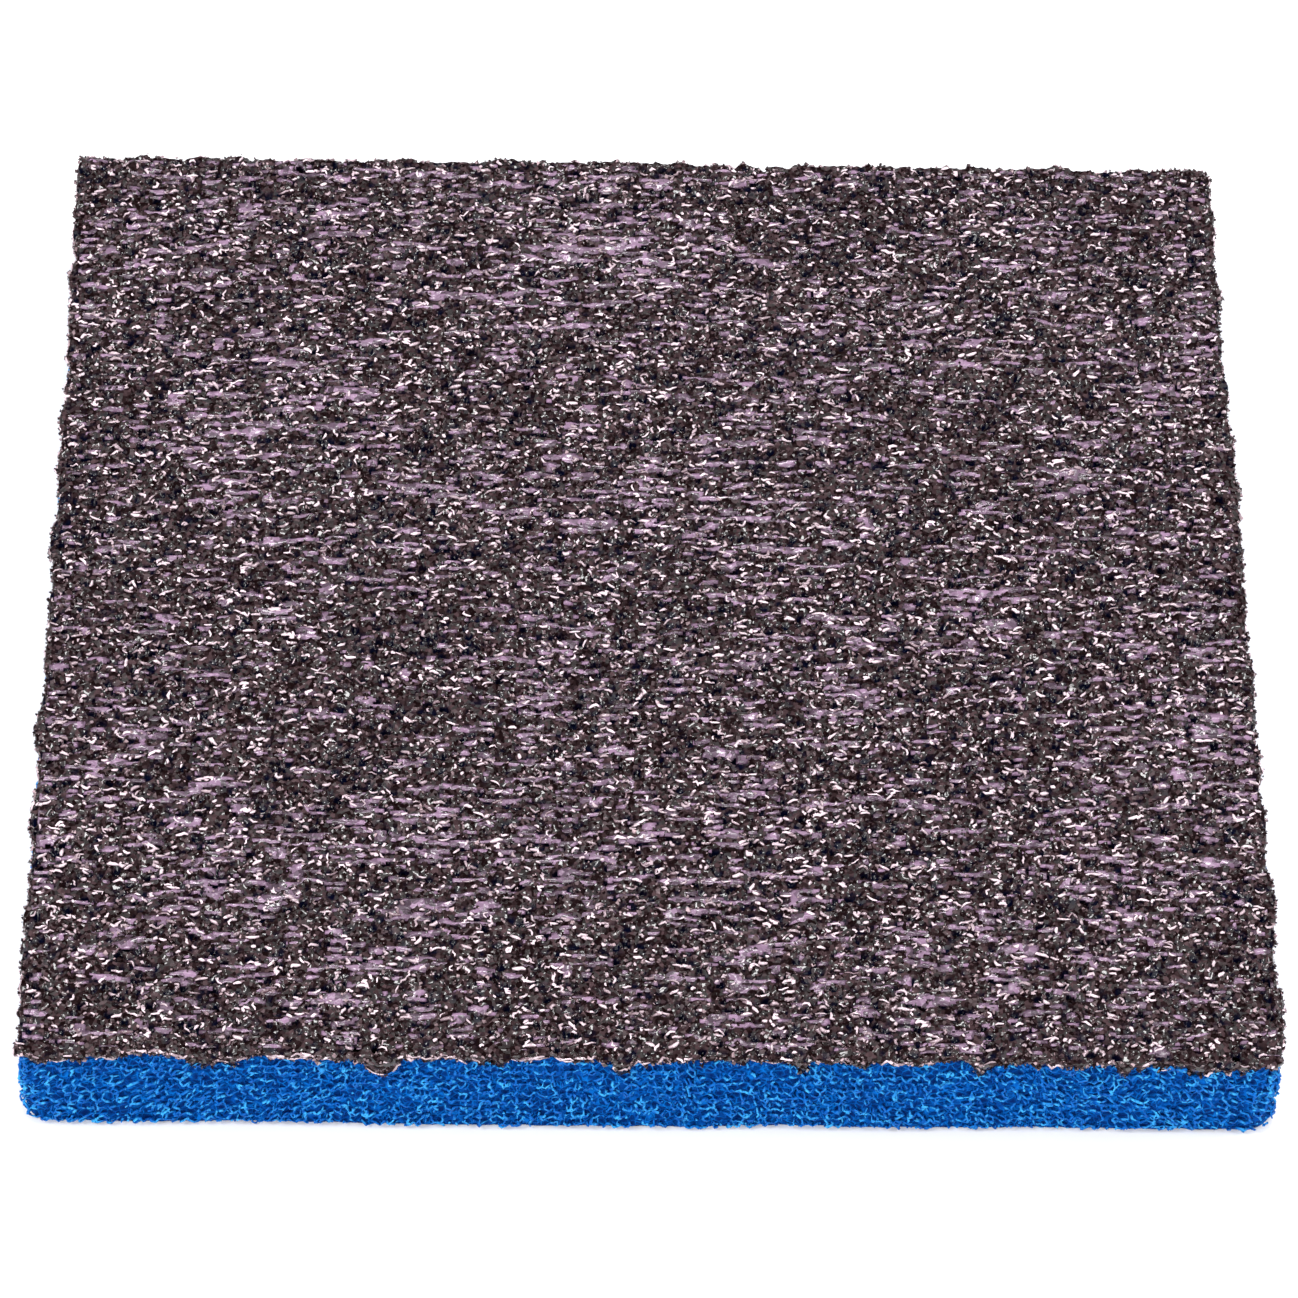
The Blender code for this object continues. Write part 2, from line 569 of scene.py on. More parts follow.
# The struts' pale rim colour is a painted highlight and their hollow colour painted shade.
STRUT_FOAM = FoamFinish(
    "strut_foam",
    rim=(0.042, 0.385, 0.790),
    wall=(0.0005, 0.122, 0.475),
    hollow_shade=(0.0003, 0.084, 0.375),
    cell_size=1.15 * MM,
    roughness=0.45,
    relief=0.04 * MM,
    sheen=0.12,
)
MAKE_RESIN = CoatingFinish(
    "make_coat_resin",
    dark=(0.0046, 0.0012, 0.0014),
    light=(0.0660, 0.0390, 0.0435),
    facet_size=0.36 * MM,
    tilt=0.25,
    smoothest=0.10,
    roughest=0.40,
    lump_size=0.42 * MM,
    lump_height=0.16 * MM,
    sheen=0.02,
    contrast=3.2,
    # Painted shade in the pits, partly the dark blue foam showing through.
    pit=(0.0003, 0.0012, 0.0090),
)
# The grain's pale end is painted glint: a few facets are tinted near white, the rest keep the grain's own
# browns.
CRUSHED_GRAIN_AND_GLINTS = CoatingFinish(
    "crushed_grain_and_glints",
    dark=(0.010, 0.0032, 0.0038),
    light=(0.470, 0.335, 0.365),
    facet_size=0.45 * MM,
    tilt=0.2,
    smoothest=0.12,
    roughest=0.40,
    sheen=0.08,
    contrast=4.0,
)
# The curls' near-white tint is painted glint, standing in for highlights on wet strut edges.
GLINT_PAINTED_CURLS = CoatingFinish(
    "size_coat_curls_painted_glints",
    dark=(0.110, 0.055, 0.072),
    light=(0.820, 0.650, 0.720),
    facet_size=0.90 * MM,
    tilt=0.05,
    smoothest=0.10,
    roughest=0.25,
    sheen=0.8,
)
# The skins' lavender is partly the resin's own tint and partly painted reflection of a broad soft light.
SKIN_RESIN_AND_SHEEN = CoatingFinish(
    "size_coat_skins_and_sheen",
    dark=(0.034, 0.017, 0.030),
    light=(0.250, 0.150, 0.240),
    facet_size=0.60 * MM,
    tilt=0.25,
    smoothest=0.12,
    roughest=0.34,
    lump_size=0.45 * MM,
    lump_height=0.09 * MM,
    sheen=0.4,
    contrast=1.5,
)


def dress(piece: Piece, material: Material) -> None:
    """Gives a piece its material and its slot, and lets it ride on the pad.

    Args:
        piece: The piece.
        material: Its material.
    """
    piece.data.materials.append(material)
    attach(piece, "root")


# ---------- The foam


@dataclass
class FoamCore:
    """The foam slab: a core coloured darker as painted shade, and the net of struts that makes its cut
    sides open.
    """

    half_width: float
    half_depth: float
    height: float
    inset: float = 0.5 * MM
    swell: float = 0.5 * MM
    bottom_round: float = 0.7 * MM
    top_corner: float = 1.2 * MM
    bottom_corner: float = 2.2 * MM
    corner_run: float = 2.8 * MM
    wander: float = 0.3 * MM
    cell: float = 1.20 * MM
    joint_shift: float = 0.13
    flow: float = 1.1
    flow_size: float = 3.6 * MM
    broken_share: float = 0.06
    strut: float = 0.130 * MM
    net_depth: float = 0.60 * MM
    core_depth: float = 0.50 * MM
    pit_size: float = 0.75 * MM
    hollow_depth: float = 0.30 * MM
    grid_step: float = 0.44 * MM

    def __post_init__(self) -> None:
        """Works out the lengths of the side's runs and of its profile."""
        across = 2 * (self.half_width - self.corner_run / 2)
        along = 2 * (self.half_depth - self.corner_run / 2)
        self.runs = np.array([self.corner_run, across, self.corner_run, along] * 2)
        self.breaks = np.concatenate([[0.0], np.cumsum(self.runs)])
        self.round_length = QUARTER * self.bottom_round
        self.side_length = self.round_length + self.height - self.bottom_round
        self.trace = np.arange(0, self.breaks[-1], 0.1 * MM)
        zero = np.zeros(len(self.trace))
        self.outline = self.side_point(self.trace, zero, zero)[:, :2]

    def side_point(self, around: Array, rise: Array, inward: Array) -> Array:
        """A point on or behind the foam's cut side.

        Args:
            around: The distance round the pad, anticlockwise from the start of the +X +Y corner.
            rise: The distance up the side's profile from the edge of the flat underside.
            inward: How deep the point lies behind the side.

        Returns:
            One row of x, y and z for each point.
        """
        around = around % self.breaks[-1]
        run = np.clip(np.searchsorted(self.breaks, around, side="right") - 1, 0, 7)
        share = (around - self.breaks[run]) / self.runs[run]
        corner = run // 2
        on_corner = run % 2 == 0
        angle = QUARTER * (corner + np.where(on_corner, share, 1.0))
        along = np.where(on_corner, 0.0, share)[:, None]
        tip = np.clip(rise / self.bottom_round, 0, QUARTER)
        height = self.bottom_round * (1 - np.cos(tip)) + np.maximum(rise - self.round_length, 0)
        drawn = self.bottom_round * (1 - np.sin(tip)) + self.inset
        drawn -= self.swell * np.cos(QUARTER * np.clip(height / self.height, 0, 1))
        slow = np.stack([around / (9 * MM), rise / (7 * MM)], axis=1)
        drawn += self.wander * (smooth_noise(slow, Seed.SIDE_WANDER) - 0.5)
        drawn += inward * np.sin(tip)
        radius = self.bottom_corner + (self.top_corner - self.bottom_corner) * height / self.height
        half = np.stack([self.half_width - drawn, self.half_depth - drawn], axis=1) - radius[:, None]
        here = CORNER_SIGNS[corner] * half
        there = CORNER_SIGNS[(corner + 1) % 4] * half
        outward = np.stack([np.cos(angle), np.sin(angle)], axis=1)
        flat = here + (there - here) * along + radius[:, None] * outward
        return np.column_stack([flat, height + inward * np.cos(tip)])

    def joints(self, lattice: Array, sites: Array, pitch: Array,
               rng: np.random.Generator) -> Array:
        """Places the joints between the struts, and bends their rows into uneven ones.

        Args:
            lattice: The unit cubes' whole-number places.
            sites: The joints in one unit cube.
            pitch: The unit cube's sizes.
            rng: The piece's own random numbers.

        Returns:
            The distance round, the rise and the depth of each joint, with axes cube, joint and place.
        """
        places = (lattice[:, None] + sites) * pitch
        places[..., 2] -= 0.5 * self.cell
        places += rng.uniform(-self.joint_shift, self.joint_shift, places.shape) * self.cell
        flat = places[..., :2].reshape(-1, 2) / self.flow_size
        for axis, seed in ((0, Seed.FLOW_AROUND), (1, Seed.FLOW_UP)):
            shift = (smooth_noise(flat, seed) - 0.5).reshape(places.shape[:2])
            free = smooth_step(places[..., 1], 0, 2 * self.cell)
            places[..., axis] += self.flow * self.cell * shift * free
        return places

    def network(self) -> Piece:
        """The struts of the cells that the cut sides have opened: a jittered Kelvin foam."""
        rng = np.random.default_rng(Seed.STRUTS)
        total = self.breaks[-1]
        cubes = np.array([
            round(total / self.cell),
            math.ceil(self.side_length / self.cell) + 1,
            math.ceil(self.net_depth / self.cell) + 1,
        ])
        pitch = np.array((total / cubes[0], self.cell, self.cell))
        sites, ties = kelvin_cell()
        lattice = np.stack(np.meshgrid(*map(np.arange, cubes), indexing="ij"), axis=-1).reshape(-1, 3)
        places = self.joints(lattice, sites, pitch, rng)
        number = np.arange(len(lattice) * len(sites)).reshape(*cubes, len(sites))
        pairs = []
        for here, there, step in ties:
            target = lattice + step
            target[:, 0] %= cubes[0]
            valid = ((target >= 0) & (target < cubes)).all(axis=1)
            start = number[*lattice[valid].T, here]
            pairs.append(np.stack([start, number[*target[valid].T, there]], axis=1))
        ends = places.reshape(-1, 3)[np.concatenate(pairs)]
        ends[:, 1, 0] -= np.rint((ends[:, 1, 0] - ends[:, 0, 0]) / total) * total
        inside = (ends[..., 1] > -0.1 * MM) & (ends[..., 1] < self.side_length)
        inside &= (ends[..., 2] > -0.05 * MM) & (ends[..., 2] < self.net_depth)
        kept = inside.all(axis=1) & (rng.random(len(ends)) > self.broken_share)
        ends = ends[kept].reshape(-1, 3)
        lines = self.side_point(ends[:, 0], np.maximum(ends[:, 1], 0), ends[:, 2]).reshape(-1, 2, 3)
        radii = self.strut * rng.uniform(0.65, 1.35, (len(lines), 1)) * np.ones((1, 2))
        lines[..., 2] = np.maximum(lines[..., 2], radii)
        return tube_piece("foam_struts", lines, radii, 3, Seed.STRUTS)

    def core(self) -> Piece:
        """The core, coloured darker as painted shade: a gridded underside, a pitted side and a flat closed
        top.
        """
        columns = round(2 * (self.half_width - self.bottom_round) / self.grid_step)
        rows = round(2 * (self.half_depth - self.bottom_round) / self.grid_step)
        side_steps = round(self.side_length / self.grid_step)
        places = grid_places(columns, rows)
        half = np.array((self.half_width, self.half_depth)) - self.bottom_round - self.inset
        grid = round_the_corners(places, half, self.bottom_corner)
        sheet = CellSheet(2 * self.half_width, 2 * self.half_depth, self.cell, 0.3, Seed.BASE_CELLS)
        near, far, _ = sheet.nearest(grid[:, 0] + self.half_width, grid[:, 1] + self.half_depth)
        edge = 1 - np.abs(places).max(axis=1)
        hollows = self.hollow_depth * smooth_step(far - near, 0.05 * MM, 0.6 * MM)
        hollows *= smooth_step(edge, 0, 0.01)
        bottom = np.column_stack([grid, hollows])
        rim = edge_loop(columns, rows)
        gaps = ((bottom[rim, None, :2] - self.outline) ** 2).sum(axis=2)
        outline = self.trace[gaps.argmin(axis=1)]
        points, faces = [bottom], [grid_faces(columns, rows)[:, ::-1]]
        below = rim
        for step in range(1, side_steps + 1):
            rise = np.full(len(rim), self.side_length * step / side_steps)
            lattice = np.column_stack([outline / self.pit_size, rise / self.pit_size])
            inward = self.core_depth * (0.35 + 1.3 * smooth_noise(lattice, Seed.CORE_PITS))
            inward *= smooth_step(rise, 0, 1.2 * MM)
            points.append(self.side_point(outline, rise, inward))
            above = len(bottom) + (step - 1) * len(rim) + np.arange(len(rim))
            faces.append(np.stack([below, np.roll(below, -1), np.roll(above, -1), above], axis=1))
            below = above
        faces.append(below[None])
        return mesh_piece("foam_core_body", np.concatenate(points), faces, smooth=True)

    def build(self) -> list[Piece]:
        """Builds and dresses the foam's pieces."""
        core = self.core()
        struts = self.network()
        dress(core, SHADED_CORE_FOAM.material())
        dress(struts, STRUT_FOAM.material())
        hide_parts("foam_core")
        return [core, struts]


def kelvin_cell() -> tuple[Array, list[tuple[int, int, Array]]]:
    """The repeating unit of a Kelvin foam, whose cells have six square and eight six-sided windows.

    Returns:
        The joints in one unit cube, and the struts: a joint, its partner and the partner's cube.
    """
    sites = []
    for axis in range(3):
        for first, second in ((0.25, 0.5), (0.75, 0.5), (0.5, 0.25), (0.5, 0.75)):
            site = np.zeros(3)
            site[(axis + 1) % 3] = first
            site[(axis + 2) % 3] = second
            sites.append(site)
    sites = np.array(sites)
    struts = []
    for step in itertools.product((-1, 0, 1), repeat=3):
        for here, there in itertools.product(range(12), repeat=2):
            gap = sites[there] + step - sites[here]
            if abs(np.linalg.norm(gap) - math.sqrt(2) / 4) < 0.01 and tuple(gap) > (0, 0, 0):
                struts.append((here, there, np.array(step)))
    return sites, struts


def grid_faces(columns: int, rows: int) -> Array:
    """Finds the four corners of every face of a grid.

    Args:
        columns: The number of faces along X.
        rows: The number of faces along Y.

    Returns:
        One row of point numbers for each face, anticlockwise seen from above.
    """
    number = np.arange((columns + 1) * (rows + 1)).reshape(rows + 1, columns + 1)
    corners = (number[:-1, :-1], number[:-1, 1:], number[1:, 1:], number[1:, :-1])
    return np.stack([corner.ravel() for corner in corners], axis=1)


def grid_places(columns: int, rows: int) -> Array:
    """The points of a grid from -1 to 1 both ways, one row of x and y for each."""
    across, along = np.meshgrid(np.linspace(-1, 1, columns + 1), np.linspace(-1, 1, rows + 1))
    return np.stack([across.ravel(), along.ravel()], axis=1)


def edge_loop(columns: int, rows: int) -> Array:
    """The numbers of the points round a grid's edge, anticlockwise from its lowest corner."""
    number = np.arange((columns + 1) * (rows + 1)).reshape(rows + 1, columns + 1)
    return np.concatenate([number[0, :-1], number[:-1, -1], number[-1, :0:-1], number[:0:-1, 0]])


def round_the_corners(places: Array, half: Array, radius: float) -> Array:
    """Spreads a square grid over a rectangle with round corners.

    Args:
        places: Grid places from -1 to 1 both ways.
        half: The rectangle's half sizes.
        radius: The radius of its corners.

    Returns:
        One row of x and y for each place.
    """
    flat = places * half
    beyond = np.abs(flat) - (half - radius)
    at_corner = (beyond > 0).all(axis=1)
    length = np.linalg.norm(beyond, axis=1)
    length[~at_corner] = 1.0
    scale = beyond.max(axis=1) / length
    rounded = np.sign(flat) * (half - radius + beyond * scale[:, None])
    return np.where(at_corner[:, None], rounded, flat)


# ---------- The coating


@dataclass
class CoatSurface:
    """The shape that all three layers of the coating follow: the foam's cells, partly filled."""

    half_width: float
    half_depth: float
    top: float
    cell: float = 1.05 * MM
    bowl: float = 0.34 * MM
    swell: float = 0.25 * MM
    lump: float = 0.50 * MM
    below_top: float = 0.30 * MM

    def __post_init__(self) -> None:
        """Lays out the top face's cells."""
        width, depth = 2 * self.half_width, 2 * self.half_depth
        self.sheet = CellSheet(width, depth, self.cell, 0.33, Seed.COAT_CELLS)
        rng = np.random.default_rng(Seed.COAT_CELLS)
        draw = rng.random(self.sheet.rows * self.sheet.columns)
        self.openness = np.interp(draw, (0.0, 0.50, 0.84, 0.92, 1.0), (0.10, 0.40, 0.85, 1.8, 3.4))

    def half(self) -> Array:
        """Half the coating's width and depth."""
        return np.array((self.half_width, self.half_depth))

    def height(self, places: Array) -> tuple[Array, Array]:
        """The surface above each place.

        Args:
            places: One row of x and y for each place.

        Returns:
            The surface's height, and how open its pit is, from 0 to 1.
        """
        across, upward = places[:, 0] + self.half_width, places[:, 1] + self.half_depth
        near, far, cell = self.sheet.nearest(across, upward)
        bowl = self.bowl * self.openness[cell] * smooth_step(far - near, 0.05 * MM, 0.60 * MM)
        swell = self.swell * (smooth_noise(places / (6 * MM), Seed.COAT_SWELL) - 0.5)
        lumps = self.lump * (smooth_noise(places / (0.62 * MM), Seed.COAT_LUMPS) - 0.5)
        height = self.top - self.below_top + swell + lumps - bowl
        return height, smooth_step(bowl - lumps, 0.08 * MM, 0.42 * MM)


@dataclass
class MakeCoat:
    """The base layer: one continuous ragged sheet that laps over the foam's cut edge."""

    surface: CoatSurface
    column_step: float = 0.26 * MM
    row_step: float = 0.22 * MM
    wander: float = 1.05 * MM
    underside: float = 11.9 * MM
    # Rings down the lip: how far out each lies in millimetres, and its share of the lip's drop
    lip: tuple[tuple[float, float], ...] = ((0.10, 0.20), (0.14, 0.55), (0.02, 1.00))

    def drawn_in(self, around: Array) -> Array:
        """How far inside the pad's outline the coating's edge lies.

        Args:
            around: Distances round the outline.

        Returns:
            The depth at each distance.
        """
        long_wave = smooth_noise(around[:, None] / (3.1 * MM), Seed.EDGE_LONG)
        short_wave = smooth_noise(around[:, None] / (0.9 * MM), Seed.EDGE_SHORT)
        return self.wander * (0.6 * long_wave + 0.4 * short_wave - 0.1)

    def droop(self, around: Array) -> Array:
        """How far the coating laps down over the foam.

        Args:
            around: Distances round the outline.

        Returns:
            The drop at each distance.
        """
        flap = smooth_step(smooth_noise(around[:, None] / (1.9 * MM), Seed.FLAPS), 0.58, 0.92)
        fringe = smooth_noise(around[:, None] / (0.6 * MM), Seed.FRINGE)
        return (0.10 + 0.80 * fringe + 1.5 * flap) * MM

    def build(self) -> Piece:
        """Builds and dresses the sheet."""
        surface = self.surface
        columns = round(2 * surface.half_width / self.column_step)
        rows = round(2 * surface.half_depth / self.row_step)
        half = surface.half()
        flat = grid_places(columns, rows) * half
        rim = edge_loop(columns, rows)
        steps = np.linalg.norm(np.diff(flat[rim], axis=0, append=flat[rim[:1]]), axis=1)
        around = np.concatenate([[0.0], np.cumsum(steps)[:-1]])
        outward = np.sign(flat[rim]) * (np.abs(flat[rim]) > half - 1e-9)
        outward /= np.linalg.norm(outward, axis=1, keepdims=True)
        flat = self.pull_in(flat, half, rim, outward, self.drawn_in(around))
        height, pit = surface.height(flat)
        edge = (half - np.abs(flat)).min(axis=1)
        height -= 0.12 * MM * (1 - smooth_step(edge, 0.2 * MM, 1.2 * MM))
        top = np.column_stack([flat, height])
        lip = top[rim]
        droop = self.droop(around)
        points, faces = [top], [grid_faces(columns, rows)]
        for out, down in self.lip:
            points.append(lip + np.column_stack([outward * out * MM, -down * (0.35 * MM + droop)]))
        inner = lip[:, :2] - outward * 0.9 * MM
        points.append(np.column_stack([inner, np.full(len(rim), self.underside)]))
        above = rim
        for step in range(4):
            below = len(top) + step * len(rim) + np.arange(len(rim))
            faces.append(np.stack([above, below, np.roll(below, -1), np.roll(above, -1)], axis=1))
            above = below
        faces.append(above[::-1][None])
        sheet = mesh_piece("make_coat_sheet", np.concatenate(points), faces, smooth=True)
        self.face_anchors = top[pit < 0.4]
        self.lip_anchors = np.concatenate(points[1:4])
        # The pit mask tells the make coat's material where to paint shade in the pits.
        store_mask(sheet, "pit", np.concatenate([pit, np.zeros(4 * len(rim))]))
        dress(sheet, MAKE_RESIN.material())
        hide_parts("make_coat")
        return sheet

    def pull_in(self, flat: Array, half: Array, rim: Array, outward: Array,
                drawn: Array) -> Array:
        """Moves the grid's edge inwards to the ragged outline, and eases its neighbours after it.

        Args:
            flat: The grid's places.
            half: The grid's half sizes.
            rim: The numbers of its edge points.
            outward: Each edge point's outward direction.
            drawn: How far each edge point moves in.

        Returns:
            The moved places.
        """
        moved = flat.copy()
        for side, sign in itertools.product((0, 1), (-1, 1)):
            on_side = outward[:, side] * sign > 0
            order = np.argsort(flat[rim[on_side], 1 - side])
            known = flat[rim[on_side], 1 - side][order]
            shift = np.interp(flat[:, 1 - side], known, drawn[on_side][order])
            depth = half[side] - sign * flat[:, side]
            moved[:, side] -= sign * shift * (1 - smooth_step(depth, 0, 2.5 * MM))
        return moved


@dataclass
class GrainBed:
    """The crushed grain: thousands of small angular crystals, half sunk in the make coat."""

    sheet: MakeCoat
    count: int = 22000
    lip_count: int = 3000
    smallest: float = 0.09 * MM
    largest: float = 0.30 * MM

    def build(self) -> Piece:
        """Builds and dresses the crystals as one piece."""
        rng = np.random.default_rng(Seed.GRAIN)
        face = rng.choice(len(self.sheet.face_anchors), self.count, replace=False)
        lip = rng.choice(len(self.sheet.lip_anchors), self.lip_count, replace=False)
        places = np.concatenate([self.sheet.face_anchors[face], self.sheet.lip_anchors[lip]])
        count = len(places)
        corners = np.concatenate([np.eye(3), -np.eye(3)])
        sizes = self.smallest + (self.largest - self.smallest) * rng.random(count) ** 2
        shape = corners * rng.uniform(0.55, 1.45, (count, 6, 1)) * sizes[:, None, None]
        turns, _ = np.linalg.qr(rng.normal(size=(count, 3, 3)))
        turns *= np.sign(np.linalg.det(turns))[:, None, None]
        places += rng.uniform(-0.13, 0.13, (count, 3)) * MM
        points = shape @ turns + places[:, None]
        octants = [(0, 1, 2), (1, 3, 2), (3, 4, 2), (4, 0, 2)]
        octants += [(1, 0, 5), (3, 1, 5), (4, 3, 5), (0, 4, 5)]
        faces = (np.array(octants)[None] + 6 * np.arange(count)[:, None, None]).reshape(-1, 3)
        grains = mesh_piece("grain_crystals", points.reshape(-1, 3), [faces], smooth=False)
        # The crystals' material paints glints on a few near-white facets.
        dress(grains, CRUSHED_GRAIN_AND_GLINTS.material())
        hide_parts("grain_layer")
        return grains


@dataclass
class SizeCoat:
    """The glossy top resin: curls that wet the grain, tinted pale as painted glints, and skins drawn out
    across the cells, tinted lavender partly as painted reflection.
    """

    surface: CoatSurface
    sheet: MakeCoat
    curls: int = 6900
    lip_curls: int = 300
    curl_radius: float = 0.15 * MM
    curl_step: float = 0.23 * MM
    grid_step: tuple[float, float] = (0.28 * MM, 0.20 * MM)
    skin_wave: tuple[float, float] = (2.0 * MM, 0.36 * MM)
    skin_level: float = 0.69
    skin_depth: float = 0.16 * MM

    def half(self) -> Array:
        """Half the width and depth that the size coat covers."""
        return self.surface.half() - 0.9 * MM

    def resin_curls(self) -> Piece:
        """The resin that stands up as short bent beads on the grain and the cell walls, tinted pale as
        painted glints.
        """
        rng = np.random.default_rng(Seed.CURLS)
        half = self.half()
        start = rng.uniform(-half, half, (self.curls, 1, 2))
        heading = rng.uniform(0, math.tau, (self.curls, 1))
        heading = heading + rng.normal(0, 0.95, (self.curls, 3)).cumsum(axis=1)
        step = self.curl_step * rng.uniform(0.5, 1.6, (self.curls, 1))
        moves = np.stack([1.25 * np.cos(heading) * step, 0.8 * np.sin(heading) * step], axis=-1)
        flat = np.concatenate([start, start + moves.cumsum(axis=1)], axis=1)
        height, pit = self.surface.height(flat.reshape(-1, 2))
        height = height.reshape(self.curls, 4)
        height = 0.5 * (height + height.max(axis=1, keepdims=True))
        lines = np.concatenate([flat, height[..., None] + 0.9 * self.curl_radius], axis=2)
        lines = lines[pit.reshape(self.curls, 4).mean(axis=1) < 0.6]
        lines = np.concatenate([lines, self.lip_lines(rng)])
        taper = np.array((0.55, 1.0, 1.0, 0.55))
        radii = self.curl_radius * rng.uniform(0.6, 1.3, (len(lines), 1)) * taper
        return tube_piece("size_coat_curls_painted_glints", lines, radii, 4, Seed.CURLS)

    def lip_lines(self, rng: np.random.Generator) -> Array:
        """The middle lines of the beads that lie along the coating's lip, whose pale tint paints the lip's
        highlights.

        Args:
            rng: The piece's own random numbers.

        Returns:
            The lines, with axes bead, joint and place.
        """
        anchors = self.sheet.lip_anchors
        first = rng.integers(0, len(anchors) - 8, self.lip_curls)[:, None]
        lines = anchors[first + np.array((0, 1, 2, 3)) * rng.integers(1, 3, (self.lip_curls, 1))]
        near = np.linalg.norm(lines[:, 3] - lines[:, 0], axis=1) < 2 * MM
        return lines[near] + rng.uniform(-0.12, 0.12, (near.sum(), 4, 3)) * MM

    def skin_mask(self, flat: Array, pit: Array) -> Array:
        """Where the skins lie: above the skin level, in streaks along X that stay off deep pits.

        Args:
            flat: The places.
            pit: How open the pit below each place is.

        Returns:
            One value for each place.
        """
        bend = smooth_noise(flat / (2.5 * MM), Seed.SKIN_BEND)
        bent = flat + np.column_stack([np.zeros(len(flat)), 0.5 * MM * bend])
        wave = np.array(self.skin_wave)
        mask = 0.70 * smooth_noise(bent / wave, Seed.SKIN_BROAD)
        mask += 0.30 * smooth_noise(bent / (wave * (0.45, 0.6)), Seed.SKIN_FINE)
        mask += 0.14 * (smooth_noise(flat / (11 * MM), Seed.SKIN_PATCHES) - 0.5)
        return mask - 0.11 * smooth_step(pit, 0.85, 1.0)

    def resin_skins(self) -> Piece:
        """The thin skins of resin, drawn out along the pad, that bridge some of the cells; their lavender
        tint is partly painted reflection.
        """
        half = self.half()
        columns, rows = (round(2 * half[axis] / self.grid_step[axis]) for axis in (0, 1))
        flat = grid_places(columns, rows) * half
        level, pit = self.surface.height(flat)
        mask = self.skin_mask(flat, pit)
        level = level.reshape(rows + 1, columns + 1)
        for axis in (0, 1):
            level = np.maximum(level, np.maximum(np.roll(level, 1, axis), np.roll(level, -1, axis)))
        for axis in (0, 1, 0, 1):
            level = (2 * level + np.roll(level, 1, axis) + np.roll(level, -1, axis)) / 4
        rise = smooth_step(mask, self.skin_level - 0.03, self.skin_level + 0.05)
        top = np.column_stack([flat, level.ravel() + (0.16 * rise - 0.13) * MM])
        faces = grid_faces(columns, rows)
        chosen = faces[(mask[faces] > self.skin_level).any(axis=1)]
        used, numbers = np.unique(chosen, return_inverse=True)
        chosen = numbers.reshape(-1, 4)
        under = chosen[:, ::-1] + len(used)
        edges = np.concatenate([chosen[:, (a, (a + 1) % 4)] for a in range(4)])
        keys, mirrored = edges @ (len(used), 1), edges @ (1, len(used))
        rim = edges[~np.isin(keys, mirrored)]
        walls = np.column_stack([rim + len(used), rim[:, ::-1]])
        points = np.concatenate([top[used], top[used] - (0, 0, self.skin_depth)])
        return mesh_piece("size_coat_skins_and_sheen", points, [chosen, under, walls], smooth=True)

    def build(self) -> list[Piece]:
        """Builds and dresses the size coat's pieces."""
        curls = self.resin_curls()
        skins = self.resin_skins()
        dress(curls, GLINT_PAINTED_CURLS.material())
        dress(skins, SKIN_RESIN_AND_SHEEN.material())
        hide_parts("size_coat")
        return [curls, skins]


# ---------- The studio


@dataclass(frozen=True)
class Softbox:
    """A square studio light that points at the pad."""

    name: str
    azimuth: float
    elevation: float
    distance: float
    size: float
    power: float

    def build(self) -> None:
        """Adds the light, azimuth 0 being the camera's own side."""
        light = bpy.data.lights.new(self.name, "AREA")
        light.shape = "SQUARE"
        light.size = self.size
        light.energy = self.power
        lamp = bpy.data.objects.new(self.name, light)
        lamp.location = self.distance * bearing(self.azimuth, self.elevation)
        lamp.rotation_euler = lamp.location.to_track_quat("Z", "Y").to_euler()
        bpy.context.scene.collection.objects.link(lamp)


def bearing(azimuth: float, elevation: float) -> Vector:
    """The direction from the pad to a viewer at this azimuth and elevation, in degrees."""
    turn, lift = math.radians(azimuth), math.radians(elevation)
    return Vector((math.sin(turn) * math.cos(lift), -math.cos(turn) * math.cos(lift), math.sin(lift)))


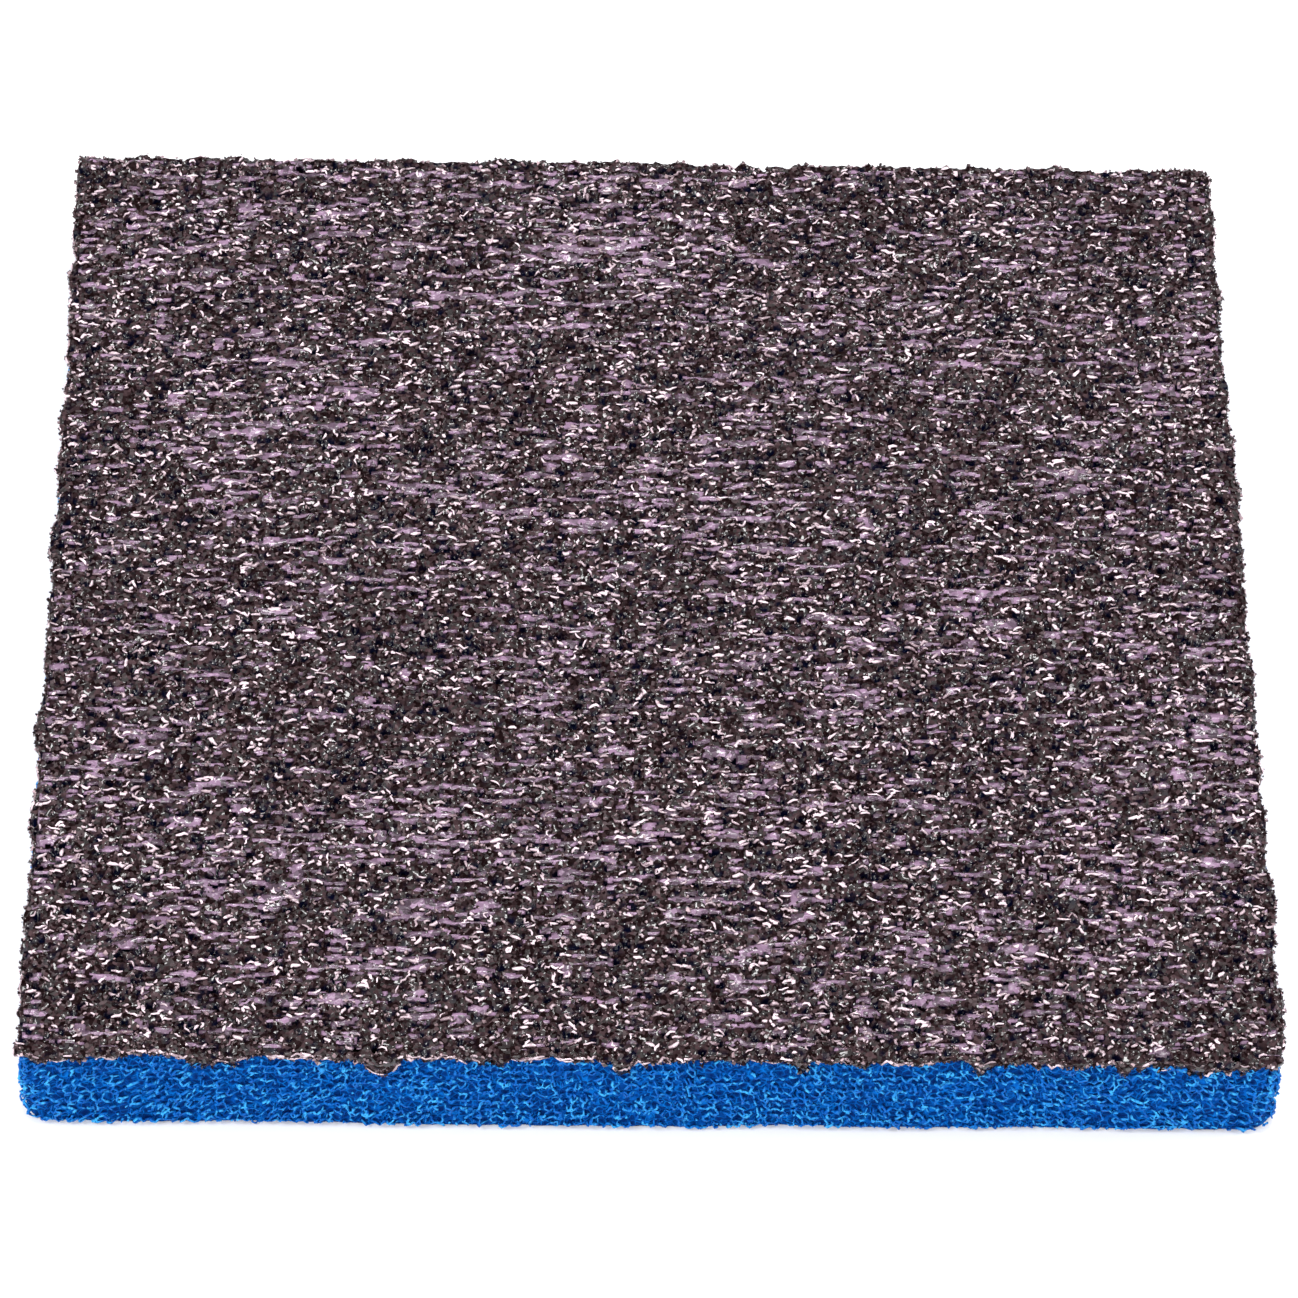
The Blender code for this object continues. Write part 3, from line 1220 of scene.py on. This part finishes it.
@dataclass
class Studio:
    """The white table, the soft lights and the camera."""

    azimuth: float = -2.343
    elevation: float = 53.70
    roll: float = 2.485
    distance: float = 0.55188
    aim: tuple[float, float, float] = (0.345 * MM, 1.026 * MM, 0.0)
    lens: float = 150.23
    sensor: float = 36.0
    table_half: float = 1.5
    lights: tuple[Softbox, ...] = (
        Softbox("top_softbox", azimuth=0, elevation=88, distance=1.2, size=0.9, power=1.5),
        Softbox("front_softbox", azimuth=-10, elevation=30, distance=1.2, size=0.6, power=7.8),
        Softbox("back_glint", azimuth=168, elevation=70, distance=0.9, size=0.26, power=4.2),
        Softbox("left_glint", azimuth=-70, elevation=50, distance=0.9, size=0.26, power=2.8),
        Softbox("right_glint", azimuth=85, elevation=42, distance=0.9, size=0.26, power=2.2),
    )

    def build(self) -> None:
        """Builds the whole studio."""
        self.build_table()
        for light in self.lights:
            light.build()
        world = bpy.data.worlds.new("studio")
        world.use_nodes = True
        backdrop = world.node_tree.nodes["Background"]
        backdrop.inputs["Color"].default_value = colour(1.0, 1.0, 1.0)
        backdrop.inputs["Strength"].default_value = 1.0
        bpy.context.scene.world = world
        bpy.context.scene.view_settings.view_transform = "Standard"
        self.build_camera()

    def build_table(self) -> None:
        """A plain white table top."""
        half = self.table_half
        corners = np.array(((-half, -half, 0), (half, -half, 0), (half, half, 0), (-half, half, 0)))
        table = mesh_piece("table_top", corners, [np.array(((0, 1, 2, 3),))], smooth=False)
        material, shader = new_material("table_white", 0.9)
        shader.inputs["Base Color"].default_value = colour(0.78, 0.78, 0.79)
        table.data.materials.append(material)

    def build_camera(self) -> None:
        """A long lens that looks down on the pad from just left of its front."""
        back = bearing(self.azimuth, self.elevation)
        turn = math.radians(self.azimuth)
        right = Vector((math.cos(turn), math.sin(turn), 0.0))
        up = back.cross(right)
        roll = math.radians(self.roll)
        across = right * math.cos(roll) + up * math.sin(roll)
        upright = up * math.cos(roll) - right * math.sin(roll)
        camera = bpy.data.cameras.new("camera")
        camera.lens = self.lens
        camera.sensor_width = self.sensor
        camera.clip_start = 0.01
        holder = bpy.data.objects.new("camera", camera)
        place = Matrix.Translation(Vector(self.aim) + back * self.distance)
        holder.matrix_world = place @ Matrix((across, upright, back)).transposed().to_4x4()
        bpy.context.scene.collection.objects.link(holder)
        bpy.context.scene.camera = holder


def main() -> None:
    """Builds the pad's sub-assemblies in order, then the studio."""
    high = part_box("size_coat")[1]
    half_width, half_depth = high.x, high.y
    foam = FoamCore(half_width, half_depth, height=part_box("make_coat")[0].z)
    surface = CoatSurface(half_width, half_depth, top=high.z)
    pieces = foam.build()
    make_coat = MakeCoat(surface)
    pieces.append(make_coat.build())
    pieces.append(GrainBed(make_coat).build())
    pieces.extend(SizeCoat(surface, make_coat).build())
    for piece in pieces:
        LOG.info("%s: %d faces", piece.name, len(piece.data.polygons))
    Studio().build()


if __name__ == "__main__":
    logging.basicConfig(level=logging.INFO)
    main()
